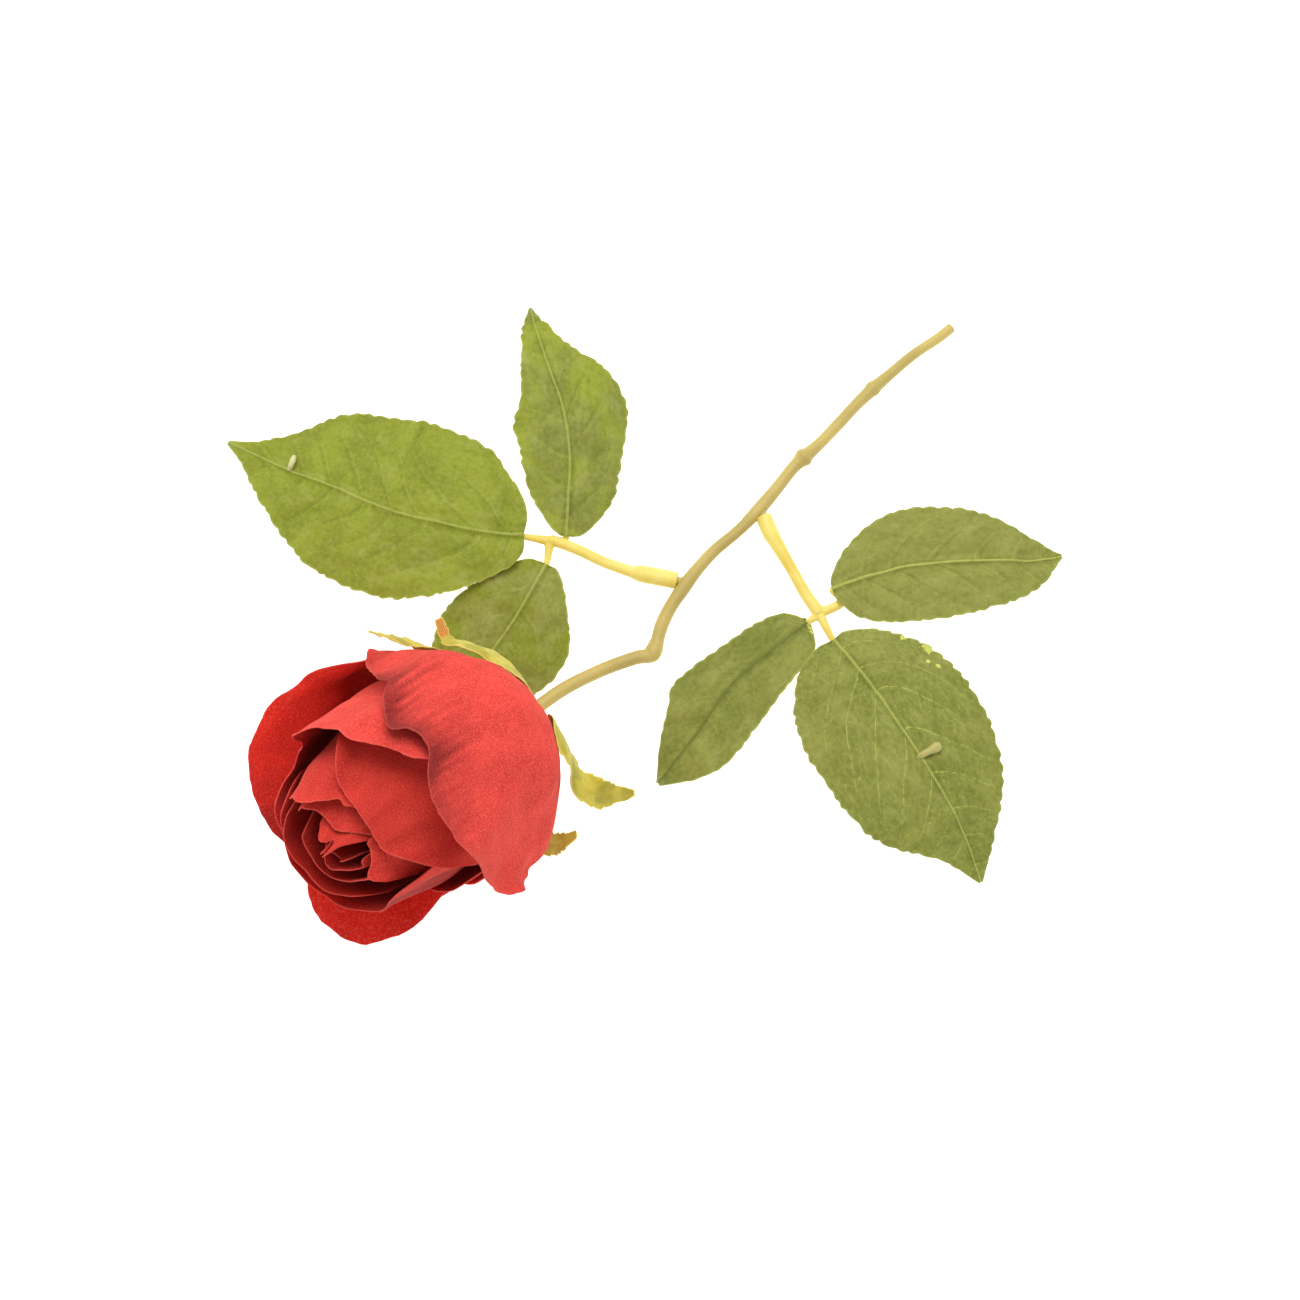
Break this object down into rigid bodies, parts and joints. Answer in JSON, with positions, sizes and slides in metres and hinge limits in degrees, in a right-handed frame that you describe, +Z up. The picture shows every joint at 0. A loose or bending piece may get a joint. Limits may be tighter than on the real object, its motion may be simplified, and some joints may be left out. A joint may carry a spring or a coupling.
{
  "type": "artificial cut rose",
  "caption": "Artificial rose with a short kinked stem, lying down: a half-open red fabric bloom, green sepals and toothed leaves on moulded stalks.",
  "frame": {"origin": "middle of the underside of the whole rose's box, on the surface it lies on", "axes": "+X along the longest extent, from the bloom towards the right-hand leaves; +Y towards the stem's cut end; +Z up from the surface"},
  "size_m": [0.2052, 0.161, 0.0749],
  "materials": {
    "petal_fabric": "flocked velvet, matt",
    "leaf_fabric": "stiffened printed cloth, matt",
    "sepal_fabric": "stiffened printed cloth, matt",
    "stem_plastic": "moulded, satin",
    "sprig_plastic": "moulded, satin",
    "core_foam": "fine foam, matt",
    "wire_steel": "drawn wire"
  },
  "bodies": {
    "root": {"stem": "stem_plastic", "stem_wire": "wire_steel", "sprig_left": "sprig_plastic", "sprig_right": "sprig_plastic", "left_leaflet_tip": "leaf_fabric", "left_leaflet_upper": "leaf_fabric", "left_leaflet_lower": "leaf_fabric", "right_leaflet_tip": "leaf_fabric", "right_leaflet_upper": "leaf_fabric", "right_leaflet_lower": "leaf_fabric", "calyx_cup": "sprig_plastic", "calyx_star": "sepal_fabric", "bud_core": "core_foam", "petal_outer_1": "petal_fabric", "petal_outer_2": "petal_fabric", "petal_outer_3": "petal_fabric", "petal_outer_4": "petal_fabric", "petal_outer_5": "petal_fabric", "petal_middle_1": "petal_fabric", "petal_middle_2": "petal_fabric", "petal_middle_3": "petal_fabric", "petal_middle_4": "petal_fabric", "petal_inner_1": "petal_fabric", "petal_inner_2": "petal_fabric", "petal_inner_3": "petal_fabric", "petal_inner_4": "petal_fabric", "petal_inner_5": "petal_fabric", "petal_heart_1": "petal_fabric", "petal_heart_2": "petal_fabric", "petal_heart_3": "petal_fabric"}
  },
  "joints": []
}
